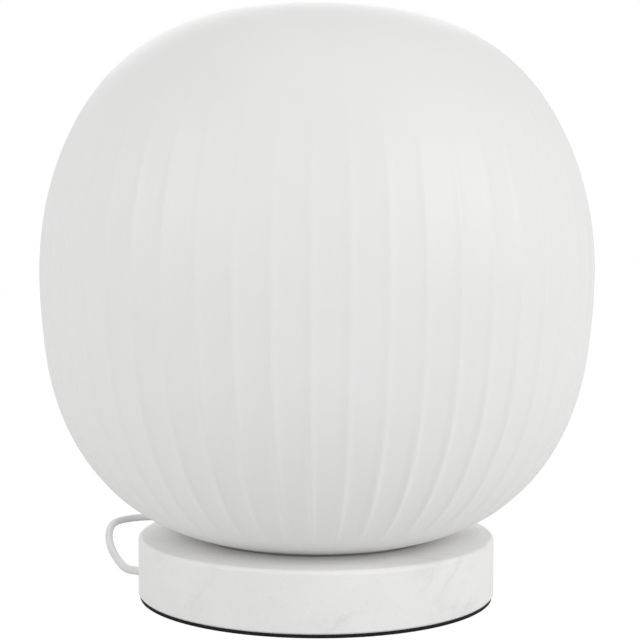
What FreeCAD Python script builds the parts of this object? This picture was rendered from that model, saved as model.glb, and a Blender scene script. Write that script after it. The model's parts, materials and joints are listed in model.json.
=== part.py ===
"""Table lamp: a fluted opal glass globe that lifts off a marble disc, lit by one screw-in bulb.

Millimetres, +Z up. The origin is the middle of the pad's underside, on the globe's axis.
The front of the lamp faces -Y. The cord leaves the back left of the marble.
"""
import FreeCAD
import Part

import math
import os

from FreeCAD import Vector

# ---------------------------------------------------------------- driving dimensions
# glass globe
globe_diameter = 350.0
glass_wall = 4.0
crown_height = 209.0         # globe's centre level up to the top
foot_depth = 130.5           # globe's centre level down to where the curve would close
crown_squareness = 2.95      # superellipse exponents, 2 is an ellipse
foot_squareness = 2.30
shoulder_swell = 0.013       # widens the form at its shoulders
waist_swell = 0.009
mouth_radius = 56.0
rim_width = 5.0
flute_count = 52
flute_sag = 0.45             # a flute's middle below the straight line between its ridges
flute_phase = -1.1           # degrees, first ridge from the front
flute_top_from = 48.0        # degrees that the wall faces away from straight up
flute_top_full = 76.0
flute_foot_full = 148.0
flute_foot_end = 164.0
globe_middle_height = 161.6  # globe's centre level above the pad
profile_rows = 26            # bands of the outside, and of the inside
inner_rows = 16
mouth_step = 1.0             # least ledge between the inside and the mouth's bore
sewing_gap = 1e-5

# marble disc and its pad
marble_diameter = 228.0
marble_thickness = 37.0
marble_arris = 2.5
marble_foot_bevel = 1.0
pad_diameter = 226.0
pad_thickness = 2.2
seat_recess_radius = 75.0
seat_recess_depth = 3.0
bore_gap = 0.4
under_recess_radius = 46.0
under_recess_depth = 20.0
cord_above_foot = 3.4        # cord's middle above the marble's underside

# cord
cord_diameter = 5.4
cord_groove_width = 7.4
cord_groove_height = 7.2
cord_exit_bearing = 165.0    # degrees round the marble from +X
cord_exit_heading = 143.0    # degrees, the way the cord leaves
relief_nose = 4.0            # how far the strain relief stands out of the marble
relief_length = 30.0
relief_lip = 0.35            # the boot's wall at its tip
inlet_length = 98.0          # sheathed cord from the boot's tip to its end in the base
wire_diameter = 2.0
wire_spacing = 3.0
wire_bend_room = 9.0         # from the sheath's end, and from the tube's axis, to a bend

# fitter and lamp holder
tube_diameter = 10.0
tube_bore = 7.8
tube_below_nut = 2.5
thread_gap = 0.05
washer_thickness = 1.5
washer_radius = 12.0
nut_across_flats = 14.0
nut_thickness = 4.0
plate_thickness = 1.6
retaining_plate_radius = 34.0
gallery_radius = 50.0
gallery_wall_height = 16.0
gallery_sheet = 1.5
gallery_bend = 2.0
vent_count = 6
vent_radius = 6.0
vent_circle = 32.0
seat_ring_thickness = 1.0
seat_ring_overhang = 1.0     # past the glass rim on each side
seat_gap = 0.2               # under the glass rim and round loose fits
spring_count = 3
spring_bearing = 90.0        # the first spring, from +X
spring_strip = 0.5
spring_width = 12.0
spring_clearance = 0.3       # between a spring's bow and the glass mouth
spring_foot_height = 3.0     # the flat part that is riveted to the gallery
spring_foot_lift = 2.4       # above the gallery's floor
spring_bow_height = 2.0      # the flat top of the bow
rivet_head_radius = 1.4
rivet_head_height = 0.8
rivet_shank_radius = 0.9
fit_gap = 0.05               # round a rivet, a pin or a wire in its hole
holder_rise = 1.0            # lamp holder above the upper nut
holder_radius = 19.5
holder_wall = 2.0
holder_cap_height = 22.0
holder_boss_radius = 8.5
holder_boss_height = 7.0
holder_cone_foot = 3.0       # the cap's cone, above its foot
holder_cone_top = 13.0
tube_past_boss = 3.0
barrel_height = 32.0
insert_thickness = 11.0
insert_drop = 6.0            # how deep the insert sits in the cap
barrel_knurl_step = 1.2      # the barrel above its collar is drawn in by this much
barrel_collar = 4.0
terminal_offset = 9.0        # terminal screws from the holder's axis
terminal_radius = 2.4
terminal_height = 1.6
terminal_slot = 0.7
contact_width = 5.0
contact_strip = 0.5
contact_reach = 6.0
bulb_rise = 3.0              # the seated bulb's foot above the insert
shell_bore_radius = 13.5
shell_wall = 0.5
shell_height = 22.0

# bulb
bulb_cap_radius = 13.1
bulb_cap_height = 21.0
bulb_foot_height = 3.5
bulb_housing_radius = 24.0
bulb_housing_height = 36.0
bulb_radius = 30.0
bulb_length = 108.0
bulb_wall = 1.2
bulb_foot_radius = 4.5
bulb_cap_taper = 3.0
insulator_gap = 0.1
housing_collar = 8.0         # straight lower and upper parts of the housing
housing_lip = 10.0
envelope_steps = 9
contact_gap = 0.3            # between the bulb's foot and the centre contact

# in-line switch
switch_length = 62.0
switch_width = 27.0
switch_height = 20.0
switch_wall = 2.0
switch_corner = 10.0
switch_taper = 1.5           # how far each half draws in towards its flat face
screw_offset = (20.0, 6.5)   # housing screws from the switch's middle
screw_post_radius = 3.0
screw_head_radius = 2.5
screw_head_height = 1.4
screw_sink = 0.4             # heads below the underside
cord_entry_depth = 8.0
entry_gap = 0.02
rocker_length = 19.0
rocker_width = 9.0
rocker_swing = 14.0          # degrees from off to on
rocker_gap = 0.4
rocker_pin_radius = 1.5
rocker_pivot_drop = 3.5      # pin's axis below the cover's inner face
rocker_height = 6.5          # rocker's top corners above the pin's axis
rocker_dish = 1.6
rocker_keel = 1.0            # rocker's underside below the pin's axis
ear_width = 6.0
ear_thickness = 1.6
ear_depth = 7.0
switch_place = (-44.0, 217.0)

# plug
plug_width = 35.3
plug_thickness = 13.8
plug_body_length = 34.0
plug_neck_width = 15.0
plug_neck_slimmer = 2.0      # neck thinner than the body
plug_shoulder_width = 29.0
plug_shoulder_length = 15.3  # from the back face
plug_nose_length = 6.0
plug_edge = 0.4              # flat left between the rounded edges
plug_pin_diameter = 4.0
plug_pin_length = 19.0
plug_pin_spacing = 18.2
plug_relief_length = 24.0
plug_relief_radius = 5.0
plug_relief_wall = 0.6
plug_place = (-22.0, 139.5)  # back face of the plug's body

# put-away coil
coil_place = (45.0, 177.0)
coil_outer_radius = 39.0     # to the middle of the outermost turn
coil_step = 5.9              # from turn to turn, and from layer to layer
coil_half_turns = 13         # odd: down through the middle one
coil_climb_room = 1.4        # the middle half turn is drawn in by this much
coil_lift = 0.9              # the tie's strap lies under the coil
cord_sides = 6
tie_strap = 0.7
tie_width = 12.0
tie_gap = 0.3

# ---------------------------------------------------------------- levels
cord_radius = cord_diameter / 2
marble_foot = pad_thickness
marble_top = marble_foot + marble_thickness
recess_floor = marble_top - seat_recess_depth
recess_ceiling = marble_foot + under_recess_depth
rim_level = recess_floor + seat_ring_thickness + seat_gap
centre_level = pad_thickness + globe_middle_height
plate_level = recess_ceiling - plate_thickness
lower_nut_level = plate_level - nut_thickness
tube_foot = lower_nut_level - tube_below_nut
gallery_top = recess_floor + gallery_sheet
upper_nut_level = gallery_top + washer_thickness
holder_level = upper_nut_level + nut_thickness + holder_rise
cap_top = holder_level + holder_cap_height
tube_top = holder_level + holder_boss_height + tube_past_boss
groove_middle = marble_foot + cord_above_foot
insert_level = cap_top - insert_drop
insert_top = insert_level + insert_thickness
bulb_foot_level = insert_top + bulb_rise
coil_low = coil_lift + cord_radius
coil_high = coil_low + coil_step
bore_radius = tube_diameter / 2 + thread_gap
spring_face = gallery_radius + fit_gap


# ---------------------------------------------------------------- shape helpers
def export(shape, node):
    shape.exportStep("parts/" + node + ".step")


def disc(radius, height, level, x=0.0, y=0.0):
    return Part.makeCylinder(radius, height, Vector(x, y, level))


def ring(outer, inner, height, level, x=0.0, y=0.0):
    return disc(outer, height, level, x, y).cut(disc(inner, height, level, x, y))


def turned(outline):
    """Solid of revolution about Z from (radius, level) corners."""
    points = [Vector(radius, 0, level) for radius, level in outline]
    face = Part.Face(Part.makePolygon(points + points[:1]))
    return face.revolve(Vector(0, 0, 0), Vector(0, 0, 1), 360)


def hexagon_nut(level):
    corner = nut_across_flats / math.sqrt(3)
    points = []
    for side in range(7):
        turn = math.radians(60 * side)
        points.append(Vector(corner * math.cos(turn), corner * math.sin(turn), level))
    prism = Part.Face(Part.makePolygon(points)).extrude(Vector(0, 0, nut_thickness))
    return prism.cut(disc(bore_radius, nut_thickness, level))


def around(shape, degrees, centre=Vector(0, 0, 0)):
    copy = shape.copy()
    copy.rotate(centre, Vector(0, 0, 1), degrees)
    return copy


def heading(degrees):
    turn = math.radians(degrees)
    return Vector(math.cos(turn), math.sin(turn), 0)


def cone_along(start, direction, length, radius_start, radius_end):
    if abs(radius_start - radius_end) < 1e-6:
        return Part.makeCylinder(radius_start, length, start, direction)
    return Part.makeCone(radius_start, radius_end, length, start, direction)


# ---------------------------------------------------------------- glass globe
def globe_curve():
    """The globe's half outline as (radius, level, lean), from the top down.

    Two superellipse quarters meet at the centre level, with a slight swell at shoulder
    and waist. Lean is the angle in degrees between the outward normal and straight up.
    """
    count = 2400
    raw = []
    for step in range(count + 1):
        turn = math.pi / 2 - math.pi * step / count
        height, power = (crown_height, crown_squareness)
        if turn < 0:
            height, power = (foot_depth, foot_squareness)
        out = abs(math.cos(turn)) ** (2 / power)
        up = math.copysign(abs(math.sin(turn)) ** (2 / power), turn)
        radius = out * globe_diameter / 2
        level = up * height
        polar = math.atan2(level, radius)
        swell = 1 + shoulder_swell * math.sin(4 * polar) + waist_swell * math.sin(6 * polar)
        raw.append((radius * swell, level * swell))
    widest = max(radius for radius, level in raw)
    fit = globe_diameter / 2 / widest
    curve = []
    for index in range(1, count):
        before = raw[index - 1]
        after = raw[index + 1]
        lean = math.degrees(math.atan2(before[1] - after[1], (after[0] - before[0]) * fit))
        curve.append((raw[index][0] * fit, centre_level + raw[index][1], lean))
    return curve


def mouth_lean(curve):
    """How far the wall leans where it reaches the ground rim."""
    low = [point for point in curve if point[2] > 120 and point[1] > rim_level]
    return low[-1][2] if low else 170.0


def rows_of(curve, count, last_lean):
    rows = []
    for row in range(1, count + 1):
        wanted = last_lean * row / count
        rows.append(min(curve, key=lambda point: abs(point[2] - wanted)))
    return rows


def fade(lean):
    """1 where the flutes are full, 0 above and below them."""
    rise = (lean - flute_top_from) / (flute_top_full - flute_top_from)
    fall = (flute_foot_end - lean) / (flute_foot_end - flute_foot_full)
    share = max(0.0, min(1.0, rise, fall))
    return share * share * (3 - 2 * share)


def flute_ends(radius, level):
    """The two ridge points of the flute that faces +X."""
    half = math.radians(180 / flute_count)
    across = radius * math.sin(half)
    out = radius * math.cos(half)
    return Vector(out, -across, level), Vector(out, across, level)


def flute_band(upper, lower):
    """The face between two rows of (radius, level, sag) across one flute."""
    upper_left, upper_right = flute_ends(upper[0], upper[1])
    lower_left, lower_right = flute_ends(lower[0], lower[1])
    if upper[0] == 0:
        return Part.Face(Part.makePolygon([upper_left, lower_left, lower_right, upper_left]))
    if upper[2] + lower[2] == 0:
        corners = [upper_left, lower_left, lower_right, upper_right, upper_left]
        return Part.Face(Part.makePolygon(corners))
    return Part.makeRuledSurface(flute_edge(*upper), flute_edge(*lower))


def flute_edge(radius, level, sag):
    """Across a flute from ridge to ridge: an arc that dips by sag, or a straight line."""
    left, right = flute_ends(radius, level)
    if sag == 0:
        return Part.LineSegment(left, right).toShape()
    return Part.Arc(left, Vector(left.x - sag, 0, level), right).toShape()


def outer_rows(curve, last):
    rows = [(0.0, curve[0][1], 0.0)]
    for radius, level, lean in rows_of(curve, profile_rows, last):
        rows.append((radius, level, flute_sag * fade(lean)))
    return rows


def inner_rows_up(curve, last):
    """The smooth inside, from the ground rim up through the mouth to the crown."""
    rows = []
    for radius, level, lean in rows_of(curve, inner_rows, last):
        away = math.radians(lean)
        inner_radius = radius - glass_wall * math.sin(away)
        if inner_radius > mouth_radius + mouth_step or lean < 90:
            rows.append((inner_radius, level - glass_wall * math.cos(away), 0.0))
    rim = [(mouth_radius + rim_width, rim_level, 0.0), (mouth_radius, rim_level, 0.0),
           (mouth_radius, rows[-1][1], 0.0)]
    return rim + rows[::-1] + [(0.0, curve[0][1] - glass_wall, 0.0)]


def glass_globe():
    """One flute's strip of the wall, repeated round the axis and sewn into a closed shell."""
    curve = globe_curve()
    last = mouth_lean(curve)
    rows = outer_rows(curve, last) + inner_rows_up(curve, last)
    strip = []
    for upper, lower in zip(rows, rows[1:]):
        pair = (upper, lower) if lower[0] > 0 else (lower, upper)
        strip.append(flute_band(*pair))
    first = flute_phase - 90 + 180 / flute_count
    faces = []
    for flute in range(flute_count):
        faces += [around(face, first + 360 * flute / flute_count) for face in strip]
    wall = Part.makeShell(faces)
    wall.sewShape(sewing_gap)
    globe = Part.makeSolid(wall)
    if globe.Volume < 0:
        globe.reverse()
    return globe


# ---------------------------------------------------------------- marble and pad
def exit_point():
    return heading(cord_exit_bearing) * (marble_diameter / 2) + Vector(0, 0, groove_middle)


def cord_groove():
    """The slot under the marble that the cord runs out through."""
    length = marble_diameter / 2
    slot = Part.makeBox(
        length + relief_length, cord_groove_width, cord_groove_height,
        Vector(-length, -cord_groove_width / 2, marble_foot))
    slot.rotate(Vector(0, 0, 0), Vector(0, 0, 1), cord_exit_heading)
    out = exit_point()
    slot.translate(Vector(out.x, out.y, 0))
    return slot


def marble_base():
    radius = marble_diameter / 2
    body = disc(radius, marble_thickness, marble_foot)
    top_edges = [e for e in body.Edges if abs(e.BoundBox.ZMin - marble_top) < 1e-6]
    body = body.makeFillet(marble_arris, top_edges)
    foot_edges = [e for e in body.Edges if abs(e.BoundBox.ZMax - marble_foot) < 1e-6]
    body = body.makeChamfer(marble_foot_bevel, foot_edges)
    body = body.cut(disc(seat_recess_radius, seat_recess_depth, recess_floor))
    body = body.cut(disc(under_recess_radius, under_recess_depth, marble_foot))
    body = body.cut(disc(tube_diameter / 2 + bore_gap, marble_thickness, marble_foot))
    return body.cut(cord_groove())


def base_pad():
    return disc(pad_diameter / 2, pad_thickness, 0)


# ---------------------------------------------------------------- fitter
def threaded_tube():
    return ring(tube_diameter / 2, tube_bore / 2, tube_top - tube_foot, tube_foot)


def retaining_plate():
    return ring(retaining_plate_radius, bore_radius, plate_thickness, plate_level)


def upper_washer():
    return ring(washer_radius, bore_radius, washer_thickness, gallery_top)


def gallery():
    """Pressed steel cup that centres the glass, with vents and holes for the springs' rivets."""
    inner = gallery_radius - gallery_sheet
    bend_in = gallery_bend - gallery_sheet
    top = recess_floor + gallery_wall_height
    cup = turned([
        (bore_radius, recess_floor),
        (gallery_radius - gallery_bend, recess_floor),
        (gallery_radius, recess_floor + gallery_bend),
        (gallery_radius, top),
        (inner, top),
        (inner, gallery_top + bend_in),
        (inner - bend_in, gallery_top),
        (bore_radius, gallery_top)])
    for vent in range(vent_count):
        place = heading(360 / vent_count * (vent + 0.5)) * vent_circle
        cup = cup.cut(disc(vent_radius, gallery_sheet, recess_floor, place.x, place.y))
    return cup.cut(ring_of(rivet_hole(), spring_count, spring_bearing))


def seat_ring():
    outer = mouth_radius + rim_width + seat_ring_overhang
    return ring(outer, mouth_radius - seat_ring_overhang, seat_ring_thickness, recess_floor)


def spring_foot_level():
    return recess_floor + spring_foot_lift


def rivet_level():
    return spring_foot_level() + spring_foot_height / 2


def rivet_hole():
    return Part.makeCylinder(
        rivet_shank_radius + fit_gap, 3 * gallery_sheet,
        Vector(gallery_radius - 2 * gallery_sheet, 0, rivet_level()), Vector(1, 0, 0))


def leaf_spring():
    """A bent strip, riveted to the gallery's wall, whose bow presses out at the glass."""
    low = spring_foot_level()
    high = recess_floor + gallery_wall_height
    bow = mouth_radius - spring_clearance - spring_strip
    slope = bow - spring_face
    bow_low = low + spring_foot_height + slope
    bow_high = bow_low + spring_bow_height
    bend = spring_strip * math.tan(math.radians(22.5))
    face = [
        (spring_face, low),
        (spring_face, low + spring_foot_height),
        (bow, bow_low),
        (bow, bow_high),
        (spring_face + spring_strip, high),
        (spring_face + 2.4 * spring_strip, high),
        (bow + spring_strip, bow_high + bend / 2),
        (bow + spring_strip, bow_low - bend),
        (spring_face + spring_strip, low + spring_foot_height - bend),
        (spring_face + spring_strip, low)]
    points = [Vector(x, -spring_width / 2, z) for x, z in face]
    strip = Part.Face(Part.makePolygon(points + points[:1]))
    return strip.extrude(Vector(0, spring_width, 0)).cut(rivet_hole())


def spring_rivet():
    """Shank through the gallery and the spring's foot, with a head on each side."""
    inside = gallery_radius - gallery_sheet
    inner_face = math.sqrt(inside ** 2 - rivet_head_radius ** 2)
    outer_face = spring_face + spring_strip
    level = rivet_level()
    out = Vector(1, 0, 0)
    begin = Vector(inner_face - rivet_head_height, 0, level)
    inner_head = Part.makeCylinder(rivet_head_radius, rivet_head_height, begin, out)
    shank = Part.makeCylinder(rivet_shank_radius, outer_face - begin.x, begin, out)
    outer_head = Part.makeCylinder(
        rivet_head_radius, rivet_head_height, Vector(outer_face, 0, level), out)
    return inner_head.fuse(shank).fuse(outer_head)


def ring_of(shape, count, start):
    copies = [around(shape, start + 360 * index / count) for index in range(count)]
    return Part.makeCompound(copies)


# ---------------------------------------------------------------- lamp holder
def holder_cap():
    """The holder's domed lower half, threaded on the tube."""
    inner = holder_radius - holder_wall
    neck = holder_radius - 1.5 * holder_wall
    cone = holder_level + holder_cone_top
    return turned([
        (bore_radius, holder_level),
        (holder_boss_radius, holder_level),
        (holder_boss_radius, holder_level + holder_cone_foot),
        (neck, cone - 2 * holder_wall),
        (holder_radius, cone),
        (holder_radius, cap_top),
        (inner, cap_top),
        (inner, cone + holder_wall / 2),
        (neck - holder_wall, cone - holder_wall),
        (bore_radius, holder_level + holder_boss_height)])


def insert_plan_radius():
    return holder_radius - holder_wall - seat_gap


def holder_insert():
    """The ceramic block that carries the contacts, with its wire room underneath."""
    block = disc(insert_plan_radius(), insert_thickness, insert_level)
    room = Part.makeBox(
        terminal_offset, wire_spacing + 2 * wire_diameter, insert_thickness / 3,
        Vector(-terminal_offset / 2, -wire_spacing / 2 - wire_diameter, insert_level))
    block = block.cut(room)
    return block.cut(disc(terminal_height, insert_thickness, insert_level, terminal_offset, 0))


def holder_barrel():
    """The upper half, stepped in above its collar, round the screw shell."""
    top = cap_top + barrel_height
    narrow = shell_bore_radius + shell_wall + seat_gap
    wide = holder_radius - holder_wall
    slim = holder_radius - barrel_knurl_step
    shelf = insert_top + holder_wall
    return turned([
        (wide, cap_top),
        (holder_radius, cap_top),
        (holder_radius, cap_top + barrel_collar),
        (slim, cap_top + barrel_collar + barrel_knurl_step),
        (slim, top - 2 * barrel_knurl_step),
        (slim - barrel_knurl_step, top),
        (narrow, top),
        (narrow, shelf),
        (wide, shelf)])


def screw_shell():
    return ring(shell_bore_radius + shell_wall, shell_bore_radius, shell_height, insert_top)


def centre_contact():
    """Sprung brass tongue on the insert, folded back up to the bulb's foot."""
    rise = bulb_foot_level - contact_gap - insert_top
    tip = contact_reach / 2
    tongue = [
        (-contact_reach, 0.0),
        (contact_reach, 0.0),
        (contact_reach, contact_strip),
        (-tip, contact_strip),
        (tip, rise - contact_strip),
        (tip + 2.0, rise),
        (tip, rise),
        (-contact_reach, 2 * contact_strip)]
    points = [Vector(x, -contact_width / 2, insert_top + z) for x, z in tongue]
    return Part.Face(Part.makePolygon(points + points[:1])).extrude(Vector(0, contact_width, 0))


def terminal_screws():
    level = insert_level - terminal_height
    screws = []
    for side in (-1, 1):
        y = side * terminal_offset
        head = disc(terminal_radius, terminal_height, level, 0, y)
        slot = Part.makeBox(
            2 * terminal_radius, terminal_slot, terminal_height / 2,
            Vector(-terminal_radius, y - terminal_slot / 2, level))
        screws.append(head.cut(slot))
    return Part.makeCompound(screws)


# ---------------------------------------------------------------- bulb
def bulb_levels():
    """Foot and top of the screw cap, top of the housing, middle of the glass."""
    cap_foot = bulb_foot_level + bulb_foot_height
    cap = cap_foot + bulb_cap_height
    return cap_foot, cap, cap + bulb_housing_height, bulb_foot_level + bulb_length - bulb_radius


def bulb_screw_cap():
    foot, top, housing, middle = bulb_levels()
    return turned([
        (0.0, foot),
        (bulb_cap_radius - bulb_cap_taper, foot),
        (bulb_cap_radius, foot + bulb_cap_taper),
        (bulb_cap_radius, top),
        (0.0, top)])


def bulb_insulator():
    """The glass bead between the foot contact and the screw cap."""
    top = bulb_levels()[0]
    inner = bulb_foot_radius + insulator_gap
    low = (bulb_foot_level + top) / 2
    return turned([
        (inner, low),
        (inner + 4 * insulator_gap, low),
        (bulb_cap_radius - bulb_cap_taper - 4 * insulator_gap, top),
        (inner, top)])


def bulb_foot_contact():
    return disc(bulb_foot_radius, bulb_foot_height, bulb_foot_level)


def bulb_housing():
    foot, cap, housing, middle = bulb_levels()
    return turned([
        (0.0, cap),
        (bulb_cap_radius + bulb_wall / 2, cap),
        (bulb_cap_radius + 2 * bulb_wall, cap + housing_collar),
        (bulb_housing_radius - 2 * bulb_wall, housing - housing_lip),
        (bulb_housing_radius, housing),
        (0.0, housing)])


def bulb_envelope():
    """Blown envelope of short cones, drawn in to meet the housing's rim."""
    foot, cap, housing, middle = bulb_levels()
    below = math.degrees(math.acos(bulb_housing_radius / bulb_radius))
    lowest = middle - bulb_radius * math.sin(math.radians(below))
    outside = []
    inside = []
    for step in range(envelope_steps + 1):
        share = step / envelope_steps
        turn = math.radians(-below + (90 + below) * share)
        drop = (lowest - housing) * (1 - share)
        for radius, outline in ((bulb_radius, outside), (bulb_radius - bulb_wall, inside)):
            outline.append((radius * math.cos(turn), middle + radius * math.sin(turn) - drop))
    outside[-1] = (0.0, outside[-1][1])
    inside[-1] = (0.0, inside[-1][1])
    inside[0] = (inside[0][0], housing)
    return turned(outside + inside[::-1])


# ---------------------------------------------------------------- cord
def rounded_path(points):
    """Straight runs joined by tangent arcs, each as large as its two runs allow."""
    corners = [Vector(*point) for point in points]
    edges = []
    radii = []
    last = corners[0]
    for before, corner, after in zip(corners, corners[1:], corners[2:]):
        back = (before - corner).normalize()
        ahead = (after - corner).normalize()
        turn = math.pi - back.getAngle(ahead)
        shorter = min((before - corner).Length, (after - corner).Length)
        trim = 0.45 * shorter
        radius = trim / math.tan(turn / 2)
        radii.append(radius)
        start = corner + back * trim
        end = corner + ahead * trim
        inward = (back + ahead).normalize()
        centre = corner + inward * (radius / math.cos(turn / 2))
        middle = centre - inward * radius
        edges.append(Part.LineSegment(last, start).toShape())
        edges.append(Part.Arc(start, middle, end).toShape())
        last = end
    edges.append(Part.LineSegment(last, corners[-1]).toShape())
    return Part.Wire(edges), radii


def faceted_circle(centre, direction, radius, sides):
    side_way = direction.cross(Vector(0, 0, 1)).normalize()
    up = side_way.cross(direction)
    points = []
    for index in range(sides + 1):
        turn = 2 * math.pi * index / sides
        points.append(centre + side_way * (radius * math.cos(turn)) + up * (radius * math.sin(turn)))
    return Part.makePolygon(points)


def swept(path, radius):
    """A faceted tube along a path of lines and arcs."""
    first = path.Edges[0]
    direction = first.tangentAt(first.FirstParameter)
    start = first.valueAt(first.FirstParameter)
    shell = Part.BRepOffsetAPI.MakePipeShell(path)
    shell.add(faceted_circle(start, direction, radius, cord_sides))
    shell.setTransitionMode(1)
    shell.build()
    shell.makeSolid()
    return shell.shape()


def cord_along(path, name):
    """The cord's tube, with its volume printed against its section times its length."""
    tube = swept(path, cord_radius)
    area = cord_sides / 2 * cord_radius ** 2 * math.sin(2 * math.pi / cord_sides)
    share = tube.Volume / (area * path.Length)
    print(name, "length %.1f" % path.Length, "volume / section x length %.4f" % share)
    return tube


def free_cord(points, name):
    path, radii = rounded_path(points)
    tube = cord_along(path, name)
    print(name, "radii", " ".join("%.1f" % radius for radius in radii))
    return tube


def arc_from(start, way, end):
    """The arc that leaves start along way and reaches end, as (start, middle, end)."""
    chord = end - start
    across = chord - way * chord.dot(way)
    across.normalize()
    radius = chord.dot(chord) / (2 * chord.dot(across))
    centre = start + across * radius
    out = ((start - centre).normalize() + (end - centre).normalize()).normalize()
    return start, centre + out * radius, end


def biarc(start, way_in, end, way_out):
    """Two arcs that leave start along way_in and reach end along way_out."""
    gap = end - start
    both = gap.dot(way_in + way_out)
    spread = 2 * (1 - way_in.dot(way_out))
    reach = (math.sqrt(both ** 2 + spread * gap.dot(gap)) - both) / spread
    joint = (start + way_in * reach + end - way_out * reach) * 0.5
    back = arc_from(end, way_out * -1, joint)
    arcs = (Part.Arc(*arc_from(start, way_in, joint)), Part.Arc(joint, back[1], end))
    return [arc.toShape() for arc in arcs]


def coil_stations():
    """Where each half turn starts: alternately at the back and the front of the coil."""
    middle = coil_half_turns // 2
    stations = []
    for index in range(coil_half_turns + 1):
        steps_in = min(index, coil_half_turns - index)
        radius = coil_outer_radius - steps_in * coil_step / 2
        if steps_in == middle:
            radius -= coil_climb_room
        level = coil_high if index <= middle else coil_low
        side = 1 if index % 2 == 0 else -1
        place = Vector(coil_place[0], coil_place[1] + side * radius, level)
        stations.append((place, Vector(side, 0, 0)))
    return stations


def coil_path():
    stations = coil_stations()
    start, way = stations[0]
    edges = [Part.LineSegment(start - way * cord_diameter, start).toShape()]
    for (place, way), (following, way_on) in zip(stations, stations[1:]):
        edges += biarc(place, way, following, way_on)
    last, way = stations[-1]
    edges.append(Part.LineSegment(last, last + way * cord_diameter).toShape())
    return Part.Wire(edges)


def least_gap(path):
    """Smallest free distance of the coil from its own other turns, on points 3 mm apart."""
    count = int(path.Length / 3.0)
    points = path.discretize(count)
    apart = path.Length / (count - 1)
    skip = int(4 * cord_diameter / apart)
    least = path.Length
    for index, point in enumerate(points):
        for other in points[index + skip:]:
            least = min(least, point.distanceToPoint(other))
    return least - cord_diameter


def coil_ends():
    stations = coil_stations()
    start = stations[0][0] - stations[0][1] * cord_diameter
    end = stations[-1][0] + stations[-1][1] * cord_diameter
    return start, end


def coil_tie():
    """Hook strap round all the turns, at the coil's right side."""
    inner_turn = coil_outer_radius - (coil_half_turns // 2) * coil_step / 2 - coil_climb_room
    inner = inner_turn - cord_radius - tie_gap
    outer = coil_outer_radius + cord_radius + tie_gap
    top = coil_high + cord_radius + tie_gap
    low = tie_strap
    x = coil_place[0]
    y = coil_place[1] - tie_width / 2
    outside = Part.makeBox(
        outer - inner + 2 * tie_strap, tie_width, top - low + 2 * tie_strap,
        Vector(x + inner - tie_strap, y, 0))
    hole = Part.makeBox(outer - inner, tie_width, top - low, Vector(x + inner, y, low))
    return outside.cut(hole)


def relief_tip():
    return exit_point() + heading(cord_exit_heading) * relief_nose


def strain_relief():
    """Tapered boot round the cord, most of it inside the marble's groove."""
    way = heading(cord_exit_heading)
    tip = relief_tip()
    foot = tip - way * relief_length
    wide = cord_groove_width / 2 - seat_gap
    boot = cone_along(foot, way, relief_length, wide, cord_radius + relief_lip)
    bore = Part.makeCylinder(cord_radius, relief_length, foot, way)
    return boot.cut(bore)


def cord_inlet():
    """The sheathed cord inside the base, from the boot's tip to where its wires part."""
    way = heading(cord_exit_heading)
    return Part.makeCylinder(cord_radius, inlet_length, relief_tip() - way * inlet_length, way)


def inner_wires():
    """Two insulated wires from the sheath's end, up through the tube to the holder."""
    way = heading(cord_exit_heading)
    begin = relief_tip() - way * inlet_length
    inward = Vector(-begin.x, -begin.y, 0).normalize()
    wires = []
    for side in (-1, 1):
        across = Vector(-way.y, way.x, 0) * (side * wire_spacing / 2)
        beside = Vector(-inward.y, inward.x, 0) * (side * wire_spacing / 2)
        start = begin + across
        bend = start - way * wire_bend_room
        near = beside - inward * wire_bend_room + Vector(0, 0, groove_middle + 0.6)
        under = beside + Vector(0, 0, groove_middle + 1.4)
        end = beside + Vector(0, 0, insert_level)
        path, radii = rounded_path([start, bend, near, under, end])
        wires.append(swept(path, wire_diameter / 2))
    return Part.makeCompound(wires)


# the lead's route from the marble to the switch, chosen by eye, in plan and height
def lead_route():
    tip = relief_tip()
    switch_left = switch_place[0] - switch_length / 2
    return [
        (tip.x, tip.y, tip.z),
        (tip.x - 9.4, tip.y + 7.1, 4.8),
        (-130.0, 52.0, 3.2),
        (-137.8, 77.0, cord_radius),
        (-146.8, 111.0, cord_radius),
        (-154.6, 149.0, cord_radius),
        (-159.6, 187.0, cord_radius),
        (-160.6, 221.0, cord_radius),
        (-151.4, 236.6, cord_radius),
        (-134.6, 244.6, cord_radius),
        (-116.4, 241.0, cord_radius),
        (-98.0, 222.4, 5.4),
        (switch_left, switch_place[1], switch_height / 2)]


def run_route():
    start, end = coil_ends()
    switch_right = switch_place[0] + switch_length / 2
    return [
        (switch_right, switch_place[1], switch_height / 2),
        (switch_right + 16.0, switch_place[1] + 0.6, switch_height / 2 - 0.1),
        (start.x - 15.0, start.y - 0.2, start.z + 0.1),
        (start.x, start.y, start.z)]


def end_route():
    start, end = coil_ends()
    return [
        (end.x, end.y, end.z),
        (end.x - 12.0, end.y + 0.2, end.z + 0.4),
        (plug_place[0] + plug_relief_length + 13.0, plug_place[1] - 0.3, plug_thickness / 2 - 0.5),
        (plug_place[0] + plug_relief_length, plug_place[1], plug_thickness / 2)]


# ---------------------------------------------------------------- in-line switch
def switch_outline(level, inset):
    """Stadium-like plan of the switch's housing, drawn in by inset."""
    length = switch_length - 2 * inset
    width = switch_width - 2 * inset
    body = Part.makeBox(
        length, width, 1.0,
        Vector(switch_place[0] - length / 2, switch_place[1] - width / 2, level))
    uprights = [e for e in body.Edges if e.BoundBox.ZLength > 0.9]
    body = body.makeFillet(switch_corner - inset, uprights)
    top = [f for f in body.Faces if abs(f.BoundBox.ZMin - level - 1.0) < 1e-6][0]
    return top.OuterWire


def switch_half(low, high, inset_low, inset_high):
    lower = switch_outline(low - 1.0, inset_low)
    upper = switch_outline(high - 1.0, inset_high)
    return Part.makeLoft([lower, upper], True, True)


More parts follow.
